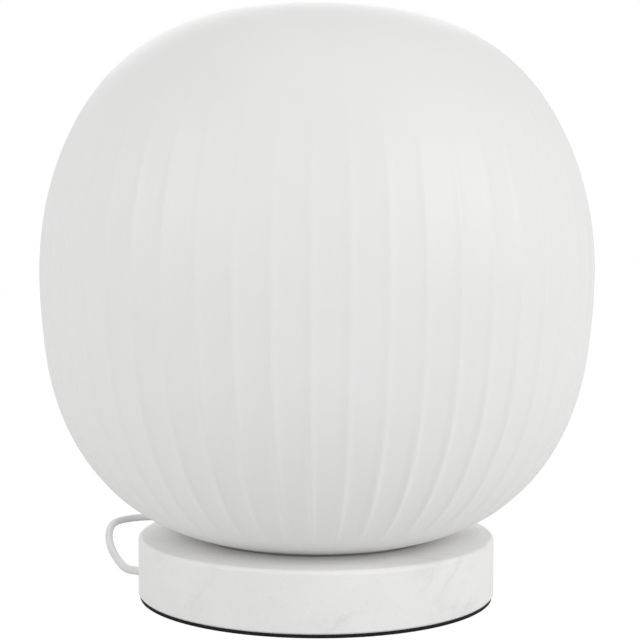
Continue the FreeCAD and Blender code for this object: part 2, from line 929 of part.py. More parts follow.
def switch_entry_cut():
    """Half round notches in both halves where the cord goes in."""
    cuts = []
    for side in (-1, 1):
        outer = Vector(switch_place[0] + side * switch_length / 2, switch_place[1], switch_height / 2)
        cuts.append(Part.makeCylinder(
            cord_radius + entry_gap, cord_entry_depth, outer, Vector(-side, 0, 0)))
    return Part.makeCompound(cuts)


def screw_places():
    """The two housing screws sit at opposite corners."""
    return [(switch_place[0] + side * screw_offset[0], switch_place[1] - side * screw_offset[1])
            for side in (-1, 1)]


def switch_lower():
    """The lower shell, with a post round each screw."""
    middle = switch_height / 2
    body = switch_half(0.0, middle, switch_taper, 0.0)
    body = body.cut(switch_half(switch_wall, middle, switch_wall + switch_taper, switch_wall))
    for x, y in screw_places():
        body = body.fuse(disc(screw_post_radius, middle - switch_wall / 2, switch_wall / 2, x, y))
        body = body.cut(disc(screw_head_radius + fit_gap, switch_wall, 0.0, x, y))
    return body.cut(switch_entry_cut())


def rocker_pivot():
    level = switch_height - switch_wall - rocker_pivot_drop
    return Vector(switch_place[0], switch_place[1], level)


def rocker_reach():
    """Half the length that the rocker needs in the cover's slot when it is tipped."""
    tip = math.radians(rocker_swing / 2)
    return rocker_length / 2 * math.cos(tip) + rocker_height * math.sin(tip)


def rocker_pin_length():
    return rocker_width + 2 * rocker_gap + 1.5 * ear_thickness


def switch_cover():
    """The upper shell: a slot for the rocker and an ear on each side for its pin."""
    middle = switch_height / 2
    inner_face = switch_height - switch_wall
    x, y = switch_place
    body = switch_half(middle, switch_height, 0.0, switch_taper)
    body = body.cut(switch_half(middle, inner_face, switch_wall, switch_wall + switch_taper))
    half_length = rocker_reach() + rocker_gap
    half_width = rocker_width / 2 + rocker_gap
    slot = Part.makeBox(
        2 * half_length, 2 * half_width, switch_wall, Vector(x - half_length, y - half_width, inner_face))
    body = body.cut(slot)
    for side in (-1, 1):
        near = y + side * (half_width + ear_thickness / 2) - ear_thickness / 2
        ear = Part.makeBox(
            ear_width, ear_thickness, ear_depth, Vector(x - ear_width / 2, near, inner_face - ear_depth))
        body = body.fuse(ear)
    pin_room = rocker_pin_length() + 2 * fit_gap
    body = body.cut(Part.makeCylinder(
        rocker_pin_radius + fit_gap, pin_room, rocker_pivot() - Vector(0, pin_room / 2, 0),
        Vector(0, 1, 0)))
    return body.cut(switch_entry_cut())


def switch_rocker():
    """Dished rocker on its pin, resting with its left end up."""
    pivot = rocker_pivot()
    half = rocker_length / 2
    top = rocker_height
    left = pivot + Vector(-half, 0, top)
    right = pivot + Vector(half, 0, top)
    low_right = pivot + Vector(half - rocker_keel, 0, -rocker_keel)
    low_left = pivot + Vector(rocker_keel - half, 0, -rocker_keel)
    edges = [
        Part.Arc(left, pivot + Vector(0, 0, top - rocker_dish), right).toShape(),
        Part.LineSegment(right, low_right).toShape(),
        Part.LineSegment(low_right, low_left).toShape(),
        Part.LineSegment(low_left, left).toShape()]
    body = Part.Face(Part.Wire(edges)).extrude(Vector(0, rocker_width, 0))
    body.translate(Vector(0, -rocker_width / 2, 0))
    length = rocker_pin_length()
    pin = Part.makeCylinder(
        rocker_pin_radius, length, pivot - Vector(0, length / 2, 0), Vector(0, 1, 0))
    body = body.fuse(pin)
    body.rotate(pivot, Vector(0, 1, 0), rocker_swing / 2)
    return body


def switch_screws():
    heads = [disc(screw_head_radius, screw_head_height, screw_sink, x, y) for x, y in screw_places()]
    return Part.makeCompound(heads)


# ---------------------------------------------------------------- plug
def plug_section(x, width, thickness):
    y = plug_place[1]
    z = plug_thickness / 2
    block = Part.makeBox(1.0, width, thickness, Vector(x, y - width / 2, z - thickness / 2))
    along = [e for e in block.Edges if e.BoundBox.XLength > 0.9]
    block = block.makeFillet(min(width, thickness) / 2 - plug_edge, along)
    face = [f for f in block.Faces if abs(f.BoundBox.XMax - x) < 1e-6][0]
    return face.OuterWire


def plug_body():
    """Flat two-pin plug, waisted from its nose to its neck."""
    back = plug_place[0]
    front = back - plug_body_length
    return Part.makeLoft([
        plug_section(back, plug_neck_width, plug_thickness - plug_neck_slimmer),
        plug_section(back - plug_shoulder_length, plug_shoulder_width, plug_thickness - plug_edge),
        plug_section(front + plug_nose_length, plug_width, plug_thickness),
        plug_section(front, plug_width, plug_thickness)], True, True)


def plug_pins():
    front = plug_place[0] - plug_body_length
    pins = []
    for side in (-1, 1):
        root = Vector(front, plug_place[1] + side * plug_pin_spacing / 2, plug_thickness / 2)
        pins.append(Part.makeCylinder(plug_pin_diameter / 2, plug_pin_length, root, Vector(-1, 0, 0)))
    return Part.makeCompound(pins)


def plug_relief():
    root = Vector(plug_place[0], plug_place[1], plug_thickness / 2)
    return cone_along(
        root, Vector(1, 0, 0), plug_relief_length, plug_relief_radius, cord_radius + plug_relief_wall)


# ---------------------------------------------------------------- build
def build():
    os.makedirs("parts", exist_ok=True)
    export(glass_globe(), "glass_globe")
    export(marble_base(), "marble_base")
    export(base_pad(), "base_pad")
    export(threaded_tube(), "threaded_tube")
    export(retaining_plate(), "retaining_plate")
    export(hexagon_nut(lower_nut_level), "lower_nut")
    export(hexagon_nut(upper_nut_level), "upper_nut")
    export(upper_washer(), "upper_washer")
    export(gallery(), "gallery")
    export(seat_ring(), "seat_ring")
    export(ring_of(leaf_spring(), spring_count, spring_bearing), "leaf_springs")
    export(ring_of(spring_rivet(), spring_count, spring_bearing), "spring_rivets")
    export(holder_cap(), "holder_cap")
    export(holder_insert(), "holder_insert")
    export(holder_barrel(), "holder_barrel")
    export(screw_shell(), "screw_shell")
    export(centre_contact(), "centre_contact")
    export(terminal_screws(), "terminal_screws")
    export(bulb_screw_cap(), "bulb_screw_cap")
    export(bulb_insulator(), "bulb_insulator")
    export(bulb_foot_contact(), "bulb_foot_contact")
    export(bulb_housing(), "bulb_housing")
    export(bulb_envelope(), "bulb_envelope")
    export(strain_relief(), "strain_relief")
    export(cord_inlet(), "cord_inlet")
    export(inner_wires(), "inner_wires")
    export(free_cord(lead_route(), "cord_lead"), "cord_lead")
    export(free_cord(run_route(), "cord_run"), "cord_run")
    coil = coil_path()
    export(cord_along(coil, "cord_coil"), "cord_coil")
    print("coil's least gap to itself %.2f" % least_gap(coil))
    export(free_cord(end_route(), "cord_end"), "cord_end")
    export(coil_tie(), "coil_tie")
    export(switch_lower(), "switch_lower")
    export(switch_cover(), "switch_cover")
    export(switch_rocker(), "switch_rocker")
    export(switch_screws(), "switch_screws")
    export(plug_body(), "plug_body")
    export(plug_pins(), "plug_pins")
    export(plug_relief(), "plug_relief")


build()
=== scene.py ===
"""Looks of the fluted glass globe lamp: finishes, the flex, and the pieces that want finer forms.

Everything is in metres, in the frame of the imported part: +Z up, the lamp's front towards -Y.
"""

import json
import math

import bmesh
import bpy
from mathutils import Matrix, Vector


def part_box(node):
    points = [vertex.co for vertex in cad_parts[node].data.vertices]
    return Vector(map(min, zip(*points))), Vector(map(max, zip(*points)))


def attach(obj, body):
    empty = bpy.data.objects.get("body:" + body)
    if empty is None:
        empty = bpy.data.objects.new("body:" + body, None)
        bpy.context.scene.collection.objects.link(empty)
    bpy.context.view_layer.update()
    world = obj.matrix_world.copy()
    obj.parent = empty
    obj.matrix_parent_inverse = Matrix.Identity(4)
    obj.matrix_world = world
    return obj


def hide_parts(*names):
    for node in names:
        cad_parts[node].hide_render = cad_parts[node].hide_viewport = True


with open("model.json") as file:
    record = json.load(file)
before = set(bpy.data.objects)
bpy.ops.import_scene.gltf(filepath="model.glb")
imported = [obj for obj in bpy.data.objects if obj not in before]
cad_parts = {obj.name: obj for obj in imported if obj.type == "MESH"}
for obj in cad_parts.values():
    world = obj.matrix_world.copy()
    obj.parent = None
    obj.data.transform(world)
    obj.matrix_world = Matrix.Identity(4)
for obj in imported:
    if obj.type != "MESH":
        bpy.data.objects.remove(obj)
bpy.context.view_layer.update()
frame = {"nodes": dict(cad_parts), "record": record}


# ---------------------------------------------------------------- camera
def make_camera():
    """The photograph's viewpoint: a long lens, a little above the globe's middle."""
    focal_pixels = 1510.7
    image_width = 640
    sensor_width = 36.0
    place = Vector((0.0, -0.9671, 0.2313))
    pitch = 0.0567
    yaw = 0.0020
    roll = 0.0040
    forward = Vector((math.sin(yaw) * math.cos(pitch), math.cos(yaw) * math.cos(pitch),
                      -math.sin(pitch)))
    level_right = Vector((math.cos(yaw), -math.sin(yaw), 0.0))
    level_up = level_right.cross(forward)
    right = level_right * math.cos(roll) + level_up * math.sin(roll)
    up = level_up * math.cos(roll) - level_right * math.sin(roll)
    data = bpy.data.cameras.new("camera")
    data.sensor_width = sensor_width
    data.lens = focal_pixels / image_width * sensor_width
    camera = bpy.data.objects.new("camera", data)
    bpy.context.scene.collection.objects.link(camera)
    turn = Matrix((right, up, -forward)).transposed()
    camera.matrix_world = Matrix.Translation(place) @ turn.to_4x4()
    bpy.context.scene.camera = camera


# ---------------------------------------------------------------- node helpers
class Nodes:
    """A material's node tree, with short calls to add and join nodes."""

    def __init__(self, name):
        self.material = bpy.data.materials.new(name)
        self.material.use_nodes = True
        self.tree = self.material.node_tree
        self.shader = self.tree.nodes["Principled BSDF"]
        self.output = self.tree.nodes["Material Output"]

    def add(self, kind, **settings):
        node = self.tree.nodes.new("ShaderNode" + kind)
        for key, value in settings.items():
            setattr(node, key, value)
        return node

    def join(self, source, target):
        self.tree.links.new(source, target)

    def set(self, **values):
        for key, value in values.items():
            self.shader.inputs[key.replace("_", " ")].default_value = value

    def place(self):
        return self.add("TexCoord").outputs["Object"]

    def noise(self, scale, detail=4.0, roughness=0.55, distortion=0.0, vector=None):
        node = self.add("TexNoise")
        node.inputs["Scale"].default_value = scale
        node.inputs["Detail"].default_value = detail
        node.inputs["Roughness"].default_value = roughness
        node.inputs["Distortion"].default_value = distortion
        self.join(vector or self.place(), node.inputs["Vector"])
        return node.outputs["Fac"]

    def ramp(self, source, stops):
        node = self.add("ValToRGB")
        line = node.color_ramp
        line.elements[0].position, line.elements[0].color = stops[0][0], stops[0][1]
        line.elements[1].position, line.elements[1].color = stops[-1][0], stops[-1][1]
        for position, colour in stops[1:-1]:
            line.elements.new(position).color = colour
        self.join(source, node.inputs["Fac"])
        return node.outputs["Color"]

    def bump(self, height, strength, distance):
        node = self.add("Bump")
        node.inputs["Strength"].default_value = strength
        node.inputs["Distance"].default_value = distance
        self.join(height, node.inputs["Height"])
        self.join(node.outputs["Normal"], self.shader.inputs["Normal"])
        return node

    def vary(self, socket, source, low, high):
        """Drives a plain socket between two values from a 0..1 texture."""
        node = self.add("MapRange")
        node.inputs["To Min"].default_value = low
        node.inputs["To Max"].default_value = high
        self.join(source, node.inputs["Value"])
        self.join(node.outputs["Result"], self.shader.inputs[socket])


def grey(value, alpha=1.0):
    return (value, value, value, alpha)


# ---------------------------------------------------------------- materials
def opal_glass():
    """Etched white opal glass: a satin sheen over a slightly uneven white, with a faint painted
    glow.
    """
    made = Nodes("opal_glass")
    painted_glow = 0.03         # painted glow: an even white emission in place of the light that the milky glass passes on from its lit side
    made.set(IOR=1.5, Emission_Color=grey(1.0), Emission_Strength=painted_glow)
    cloud = made.noise(9.0, detail=3.0)
    made.join(made.ramp(cloud, [(0.3, (0.872, 0.868, 0.860, 1)), (0.7, (0.888, 0.887, 0.882, 1))]),
              made.shader.inputs["Base Color"])
    made.vary("Roughness", made.noise(60.0), 0.44, 0.50)
    made.bump(made.noise(900.0, detail=2.0), 0.10, 0.0002)
    return made.material


def marble():
    """Honed white marble: faint grey clouds, a few broken veins and fine specks."""
    made = Nodes("marble")
    made.set(IOR=1.5)
    place = made.place()
    clouds = made.noise(11.0, detail=6.0, roughness=0.6, vector=place)
    tone = made.ramp(clouds, [(0.32, (0.90, 0.90, 0.895, 1)), (0.60, (0.955, 0.95, 0.94, 1))])
    veins = made.noise(7.0, detail=7.0, roughness=0.6, distortion=1.3, vector=place)
    centre = made.add("Math", operation="SUBTRACT")
    centre.inputs[1].default_value = 0.5
    made.join(veins, centre.inputs[0])
    width = made.add("Math", operation="ABSOLUTE")
    made.join(centre.outputs[0], width.inputs[0])
    line = made.ramp(width.outputs[0], [(0.0, grey(0.84)), (0.016, grey(0.95)), (0.06, grey(1.0))])
    broken = made.noise(16.0, detail=2.0, vector=place)
    share = made.add("MapRange")
    share.inputs["From Min"].default_value = 0.48
    share.inputs["From Max"].default_value = 0.66
    share.inputs["To Max"].default_value = 0.6
    made.join(broken, share.inputs["Value"])
    veined = made.add("Mix", data_type="RGBA", blend_type="MULTIPLY")
    made.join(share.outputs["Result"], veined.inputs["Factor"])
    made.join(tone, veined.inputs["A"])
    made.join(line, veined.inputs["B"])
    specks = made.noise(420.0, detail=2.0, vector=place)
    dots = made.ramp(specks, [(0.30, grey(0.86)), (0.38, grey(1.0))])
    speckled = made.add("Mix", data_type="RGBA", blend_type="MULTIPLY")
    speckled.inputs["Factor"].default_value = 0.3
    made.join(veined.outputs["Result"], speckled.inputs["A"])
    made.join(dots, speckled.inputs["B"])
    made.join(speckled.outputs["Result"], made.shader.inputs["Base Color"])
    made.vary("Roughness", clouds, 0.42, 0.52)
    made.bump(made.noise(700.0, detail=3.0), 0.1, 0.0003)
    return made.material


def plastic(name, colour, roughness, grain_scale=1500.0, grain=0.15):
    """Moulded plastic with a fine spark-eroded grain."""
    made = Nodes(name)
    made.set(Roughness=roughness, IOR=1.47)
    cloud = made.noise(25.0)
    dark = tuple(c * 0.97 for c in colour) + (1,)
    made.join(made.ramp(cloud, [(0.35, dark), (0.65, tuple(colour) + (1,))]),
              made.shader.inputs["Base Color"])
    made.vary("Roughness", made.noise(120.0), roughness - 0.04, roughness + 0.05)
    made.bump(made.noise(grain_scale, detail=2.0), grain, 0.00015)
    return made.material


def foam():
    """Black closed-cell foam with a pitted face."""
    made = Nodes("foam_pad")
    made.set(Roughness=0.85, IOR=1.3)
    cells = made.add("TexVoronoi")
    cells.inputs["Scale"].default_value = 900.0
    made.join(made.place(), cells.inputs["Vector"])
    made.join(made.ramp(cells.outputs["Distance"], [(0.1, grey(0.006)), (0.7, grey(0.016))]),
              made.shader.inputs["Base Color"])
    made.bump(cells.outputs["Distance"], 0.5, 0.0004)
    return made.material


def metal(name, colour, roughness, brushed=0.0):
    """Metal with fine scratches, drawn out along Z where it is brushed."""
    made = Nodes(name)
    made.set(Metallic=1.0)
    stretch = made.add("Mapping")
    stretch.inputs["Scale"].default_value = (1.0, 1.0, 12.0 if brushed else 1.0)
    made.join(made.place(), stretch.inputs["Vector"])
    scratch = made.noise(300.0, detail=4.0, vector=stretch.outputs["Vector"])
    made.join(made.ramp(scratch, [(0.3, tuple(c * 0.88 for c in colour) + (1,)),
                                  (0.7, tuple(colour) + (1,))]),
              made.shader.inputs["Base Color"])
    made.vary("Roughness", scratch, roughness - 0.06, roughness + 0.1)
    made.bump(scratch, 0.08 + brushed, 0.0001)
    return made.material


def tie_fabric():
    """Looped hook-strap fabric."""
    made = Nodes("tie_fabric")
    made.set(Roughness=0.85)
    loops = made.add("TexVoronoi")
    loops.inputs["Scale"].default_value = 1400.0
    made.join(made.place(), loops.inputs["Vector"])
    made.join(made.ramp(loops.outputs["Distance"], [(0.1, grey(0.70)), (0.8, grey(0.86))]),
              made.shader.inputs["Base Color"])
    made.bump(loops.outputs["Distance"], 0.6, 0.0004)
    return made.material


# ---------------------------------------------------------------- mesh helpers
def link(name, mesh, material, body, slot, *replaced):
    """Adds a piece that rides on a body and stands for CAD nodes."""
    piece = bpy.data.objects.new(name, mesh)
    bpy.context.scene.collection.objects.link(piece)
    mesh.materials.append(material)
    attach(piece, body)
    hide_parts(*replaced)
    return piece


def finish_mesh(name, bm, sharp_degrees=None):
    """Mesh datablock of a bmesh, smooth but for edges sharper than the angle given."""
    bmesh.ops.recalc_face_normals(bm, faces=bm.faces)
    mesh = bpy.data.meshes.new(name)
    bm.to_mesh(mesh)
    bm.free()
    mesh.shade_smooth()
    if sharp_degrees:
        mesh.set_sharp_from_angle(angle=math.radians(sharp_degrees))
    return mesh


def join_rings(bm, upper, lower):
    """Faces between two rings of points; a ring of one point makes a fan."""
    steps = max(len(upper), len(lower))
    for step in range(steps):
        after = (step + 1) % steps
        if len(upper) == 1 and len(lower) == 1:
            return
        if len(upper) == 1:
            bm.faces.new((upper[0], lower[step], lower[after]))
        elif len(lower) == 1:
            bm.faces.new((upper[step], lower[0], upper[after]))
        else:
            bm.faces.new((upper[step], lower[step], lower[after], upper[after]))


# ---------------------------------------------------------------- the globe
GLOBE_RADIUS = 0.175
CROWN_HEIGHT = 0.209
FOOT_DEPTH = 0.1305
CROWN_SQUARENESS = 2.95
FOOT_SQUARENESS = 2.30
SHOULDER_SWELL = 0.013
WAIST_SWELL = 0.009
CENTRE_LEVEL = 0.1638
RIM_LEVEL = 0.0374
MOUTH_RADIUS = 0.056
RIM_WIDTH = 0.005
GLASS_WALL = 0.004
LIP_ROUND = 0.0006           # rounding of the mouth's edges
LIP_OUT = 0.0004             # the lip's outer corner, out from the rim's edge
LIP_UP = 0.0005              # and up from the rim's level
BORE_FLARE = 0.0008          # the bore's upper end, out from the bore
OUTSIDE_ROW = 0.0022         # gap between rows of points on the outer face
INSIDE_ROW = 0.008           # and on the inner face
INSIDE_STOP = 0.002          # the inner face ends this far outside the mouth's bore
FLUTE_COLUMNS = 20           # columns of points across one flute
RIB_COUNT = 52
RIB_DEPTH = 0.0014           # a flute's floor below the circle through its ridges
RIDGE_WIDTH = 0.25           # of half the flute, where the ridge has fallen to 1/e
RIDGE_SHARE = 0.65           # of the depth, the rest is the flute's hollow
RIB_PHASE = math.radians(-90 - 1.1)  # where the first ridge stands, just left of the front
RIDGES_RISE = (46.0, 112.0)  # the wall's lean, in degrees, over which the ridges grow
RIDGES_FALL = (138.0, 158.0)
UNDERSIDE_LEAN = 120.0       # from here on the wall closes in under the globe


def globe_curve(count=4000):
    """(radius, level, lean) from the crown down; lean is the wall's angle from facing up."""
    raw = []
    for step in range(count + 1):
        turn = math.pi / 2 - math.pi * step / count
        height, power = (CROWN_HEIGHT, CROWN_SQUARENESS)
        if turn < 0:
            height, power = (FOOT_DEPTH, FOOT_SQUARENESS)
        radius = abs(math.cos(turn)) ** (2 / power) * GLOBE_RADIUS
        level = math.copysign(abs(math.sin(turn)) ** (2 / power), turn) * height
        polar = math.atan2(level, radius)
        swell = 1 + SHOULDER_SWELL * math.sin(4 * polar) + WAIST_SWELL * math.sin(6 * polar)
        raw.append((radius * swell, level * swell))
    fit = GLOBE_RADIUS / max(radius for radius, level in raw)
    curve = []
    for before, here, after in zip(raw, raw[1:], raw[2:]):
        lean = math.degrees(math.atan2(before[1] - after[1], (after[0] - before[0]) * fit))
        curve.append((here[0] * fit, CENTRE_LEVEL + here[1], lean))
    return curve


def spaced(curve, gap):
    """Points of the curve about one gap apart, from the crown to just above the rim."""
    kept = [curve[0]]
    for point in curve[1:]:
        if point[2] > UNDERSIDE_LEAN and point[1] < RIM_LEVEL:
            break
        step = math.hypot(point[0] - kept[-1][0], point[1] - kept[-1][1])
        if step >= gap:
            kept.append(point)
    return kept


def ease(value, low, high):
    """0 up to low, 1 from high on, and a smooth rise between."""
    share = max(0.0, min(1.0, (value - low) / (high - low)))
    return share * share * (3 - 2 * share)


def rib_strength(lean):
    """The ridges come up out of the shoulder and run out above the foot."""
    return ease(lean, *RIDGES_RISE) * (1 - ease(lean, *RIDGES_FALL))


def flute_fall(share):
    """0 on a ridge, 1 on a flute's floor; share runs from -1 to 1 across the flute."""
    ridge = math.exp(-((1 - abs(share)) / RIDGE_WIDTH) ** 2)
    return 1 - RIDGE_SHARE * ridge - (1 - RIDGE_SHARE) * share ** 2


def round_row(bm, radius, level, columns):
    """A ring of points on the globe's own columns."""
    ring = []
    for column in range(columns):
        turn = RIB_PHASE + 2 * math.pi * column / columns
        ring.append(bm.verts.new((radius * math.cos(turn), radius * math.sin(turn), level)))
    return ring


def fluted_row(bm, radius, level, lean, columns):
    """A ring of the outside, sunk along the wall's normal between the ridges."""
    depth = RIB_DEPTH * rib_strength(lean)
    away = math.radians(lean)
    ring = []
    for column in range(columns):
        share = 2 * (column % FLUTE_COLUMNS) / FLUTE_COLUMNS - 1
        sink = depth * flute_fall(share)
        reach = radius - sink * math.sin(away)
        height = level - sink * math.cos(away)
        turn = RIB_PHASE + 2 * math.pi * column / columns
        ring.append(bm.verts.new((reach * math.cos(turn), reach * math.sin(turn), height)))
    return ring


def inside_outline(curve):
    """(radius, level) of the glass's inner face, from the crown down to the mouth."""
    outline = []
    for radius, level, lean in spaced(curve, INSIDE_ROW):
        away = math.radians(lean)
        point = (radius - GLASS_WALL * math.sin(away), level - GLASS_WALL * math.cos(away))
        if point[0] > MOUTH_RADIUS + INSIDE_STOP or point[1] > CENTRE_LEVEL:
            outline.append(point)
    return outline


def make_globe(material):
    """The glass as one closed mesh: outer face, mouth and inner face."""
    columns = RIB_COUNT * FLUTE_COLUMNS
    curve = globe_curve()
    rows = spaced(curve, OUTSIDE_ROW)
    bm = bmesh.new()
    rings = [[bm.verts.new((0, 0, curve[0][1]))]]
    for radius, level, lean in rows[1:]:
        rings.append(fluted_row(bm, radius, level, lean, columns))
    inside = inside_outline(curve)
    edge = MOUTH_RADIUS + RIM_WIDTH
    top = inside[-1][1]
    lip = [(edge + LIP_OUT, RIM_LEVEL + LIP_UP), (edge - LIP_ROUND, RIM_LEVEL),
           (MOUTH_RADIUS + LIP_ROUND, RIM_LEVEL), (MOUTH_RADIUS, RIM_LEVEL + LIP_ROUND),
           (MOUTH_RADIUS, top - LIP_ROUND), (MOUTH_RADIUS + BORE_FLARE, top)]
    for radius, level in lip + inside[::-1][:-1]:
        rings.append(round_row(bm, radius, level, columns))
    rings.append([bm.verts.new((0, 0, inside[0][1]))])
    for upper, lower in zip(rings, rings[1:]):
        join_rings(bm, upper, lower)
    mesh = finish_mesh("opal_globe", bm)
    return link("opal_globe", mesh, material, "globe", "opal_glass", "glass_globe")


# ---------------------------------------------------------------- the cord
CORD = 0.0054
CORD_EXIT_HEADING = 143.0    # degrees from +X, the way the cord leaves the marble
SWITCH = (-0.044, 0.217, 0.010)
SWITCH_HALF = 0.031


def cord_curve(name, points, material):
    """A round flex along a smooth curve with these control points."""
    data = bpy.data.curves.new(name, "CURVE")
    data.dimensions = "3D"
    data.bevel_depth = CORD / 2
    data.bevel_resolution = 6
    data.resolution_u = 8
    data.use_fill_caps = True
    line = data.splines.new("NURBS")
    line.points.add(len(points) - 1)
    for place, point in zip(line.points, points):
        place.co = (*point, 1.0)
    line.use_endpoint_u = True
    line.order_u = 3
    data.materials.append(material)
    piece = bpy.data.objects.new(name, data)
    bpy.context.scene.collection.objects.link(piece)
    return piece


def lead_points():
    """The lead from the strain relief round the left of the lamp to the switch."""
    return [(-0.113311, 0.031913, 0.0056), (-0.12271, 0.03901, 0.0048), (-0.1300, 0.0520, 0.0032),
            (-0.1378, 0.0770, 0.0027), (-0.1468, 0.1110, 0.0027), (-0.1546, 0.1490, 0.0027),
            (-0.1596, 0.1870, 0.0027), (-0.1606, 0.2210, 0.0027), (-0.1514, 0.2366, 0.0027),
            (-0.1346, 0.2446, 0.0027), (-0.1164, 0.2410, 0.0027), (-0.0980, 0.2224, 0.0054),
            (SWITCH[0] - SWITCH_HALF, SWITCH[1], SWITCH[2])]


COIL = (0.045, 0.177)
COIL_OUTER = 0.039           # radius of the outermost turn
COIL_STEP = 0.0059           # from turn to turn, and from layer to layer
COIL_HALF_TURNS = 13
COIL_LOW = 0.0036
COIL_HIGH = COIL_LOW + COIL_STEP
COIL_CLIMB_ROOM = 0.0014     # the innermost turn draws in by this as it changes layer


def coil_points():
    """Control points of the wound part: in along the upper layer, out along the lower."""
    per_half = 8
    middle = COIL_HALF_TURNS // 2
    total = COIL_HALF_TURNS * per_half
    widen = 1 / math.cos(math.pi / per_half / 2)
    points = []
    for step in range(total + 1):
        halves = step / per_half
        steps_in = min(halves, COIL_HALF_TURNS - halves)
        radius = COIL_OUTER - min(steps_in, middle) * COIL_STEP / 2
        radius -= COIL_CLIMB_ROOM * ease(steps_in, middle - 1, middle)
        climb = ease(halves, middle, middle + 1)
        level = COIL_HIGH + (COIL_LOW - COIL_HIGH) * climb
        turn = math.pi / 2 - math.pi * halves
        reach = radius * (widen if 0 < step < total else 1.0)
        points.append((COIL[0] + reach * math.cos(turn), COIL[1] + reach * math.sin(turn), level))
    return points


def tail_points():
    """From the switch through the coil to the plug's boot."""
    start = (SWITCH[0] + SWITCH_HALF, SWITCH[1], SWITCH[2])
    return ([start, (start[0] + 0.016, start[1] + 0.0006, 0.0099)]
            + [(0.0246, 0.2158, COIL_HIGH + 0.0001), (0.0396, 0.2160, COIL_HIGH)] + coil_points()
            + [(0.0396, 0.138, COIL_LOW), (0.0276, 0.1382, COIL_LOW + 0.0004),
               (0.015, 0.1392, 0.0064), (0.002, 0.1395, 0.0069)])


def make_cords(material):
    """The flex in its two lengths, either side of the switch."""
    lead = lead_points()
    tail = tail_points()
    first = cord_curve("cord_lead_flex", lead, material)
    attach(first, "base")
    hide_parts("cord_lead")
    second = cord_curve("cord_tail_flex", tail, material)
    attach(second, "base")
    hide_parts("cord_run", "cord_coil", "cord_end")


# ---------------------------------------------------------------- boots and tie
def lathe_along(name, start, way, outline, steps=48):
    """Closed mesh of an outline of (distance, radius) turned about the line from start."""
    way = Vector(way).normalized()
    side = way.cross(Vector((0, 0, 1))).normalized()
    up = side.cross(way)
    bm = bmesh.new()
    rings = []
    for distance, radius in outline:
        middle = Vector(start) + way * distance
        ring = []
        for step in range(steps):
            turn = 2 * math.pi * step / steps
            outward = side * math.cos(turn) + up * math.sin(turn)
            ring.append(bm.verts.new(middle + outward * radius))
        rings.append(ring)
    for upper, lower in zip(rings, rings[1:] + rings[:1]):
        join_rings(bm, upper, lower)
    return finish_mesh(name, bm, sharp_degrees=50)


def boot_outline(length, wide, narrow, ribs_from, rib_pitch, rib_depth):
    """A tapered boot with rounded rings short of its tip, and a bore for the cord."""
    bore = CORD / 2
    chamfer = 0.0002
    spacing = 0.0004
    plain_tip = 0.001
    outline = [(0.0, bore), (0.0, wide - chamfer), (chamfer, wide)]
    count = int(length / spacing)
    for step in range(1, count):
        along = length * step / count
        radius = wide + (narrow - wide) * along / length
        if ribs_from < along < length - plain_tip:
            wave = 2 * math.pi * (along - ribs_from) / rib_pitch
            radius -= rib_depth * (0.5 - 0.5 * math.cos(wave))
        outline.append((along, radius))
    return outline + [(length, narrow - chamfer / 2), (length, bore)]


def make_boots(cord_material, plug_material):
    """The strain relief in the marble's groove, and the boot behind the plug."""
    heading = math.radians(CORD_EXIT_HEADING)
    way = Vector((math.cos(heading), math.sin(heading), 0.0))
    tip = Vector(lead_points()[0])
    length = 0.030
    outline = boot_outline(length, wide=0.0035, narrow=0.00302, ribs_from=0.014,
                           rib_pitch=0.0022, rib_depth=0.00028)
    mesh = lathe_along("relief_boot", tip - way * length, way, outline)
    link("relief_boot", mesh, cord_material, "base", "cord_pvc", "strain_relief")
    low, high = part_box("plug_relief")
    root = (low[0], (low[1] + high[1]) / 2, (low[2] + high[2]) / 2)
    length = high[0] - low[0]
    outline = boot_outline(length, wide=0.0049, narrow=0.0032, ribs_from=0.005,
                           rib_pitch=0.0034, rib_depth=0.0006)
    mesh = lathe_along("plug_boot", root, (1, 0, 0), outline)
    link("plug_boot", mesh, plug_material, "base", "plug_pvc", "plug_relief")


def rounded_loop(left, right, low, high, radius, per_corner=8):
    """(x, z, outward x, outward z) round a rectangle with rounded corners."""
    loop = []
    corners = [(right - radius, high - radius, 0), (left + radius, high - radius, 90),
               (left + radius, low + radius, 180), (right - radius, low + radius, 270)]
    for x, z, start in corners:
        for step in range(per_corner + 1):
            turn = math.radians(start + 90 * step / per_corner)
            loop.append((x + radius * math.cos(turn), z + radius * math.sin(turn),
                         math.cos(turn), math.sin(turn)))
    return loop


def make_tie(material):
    """Woven hook strap round the coil's turns, with bound edges that stand a little proud."""
    low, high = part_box("coil_tie")
    strap = 0.0007
    edge = 0.0009
    corner = 0.0026
    # how far in from the strap's side, and its thickness there as a share of strap
    half = [(0.0, 0.8), (0.0002, 1.0), (edge, 1.0), (edge * 1.4, 0.72)]
    across = [(low[1] + inset, share) for inset, share in half]
    across += [(high[1] - inset, share) for inset, share in reversed(half)]
    loop = rounded_loop(low[0] + strap, high[0] - strap, low[2] + strap, high[2] - strap, corner)
    bm = bmesh.new()
    rings = []
    for x, z, out_x, out_z in loop:
        ring = [bm.verts.new((x + out_x * strap * share, y, z + out_z * strap * share))
                for y, share in across]
        ring += [bm.verts.new((x, y, z)) for y, share in reversed(across)]
        rings.append(ring)
    for upper, lower in zip(rings, rings[1:] + rings[:1]):
        join_rings(bm, upper, lower)
    mesh = finish_mesh("tie_strap", bm, sharp_degrees=30)
    link("tie_strap", mesh, material, "base", "tie_fabric", "coil_tie")


# ---------------------------------------------------------------- stage and light
FLOOR_SIZE = 30.0
FLOOR_WHITE = 1.08           # the floor's own white, seen by the camera
FLOOR_WHITE_SHARE = 0.86     # the rest is the lit floor, which carries the shadow
ROOM_LIGHT = 0.55            # the surround's light on the lamp
MIRRORED_SHARE = 0.5         # of the backdrop's white, in a reflection


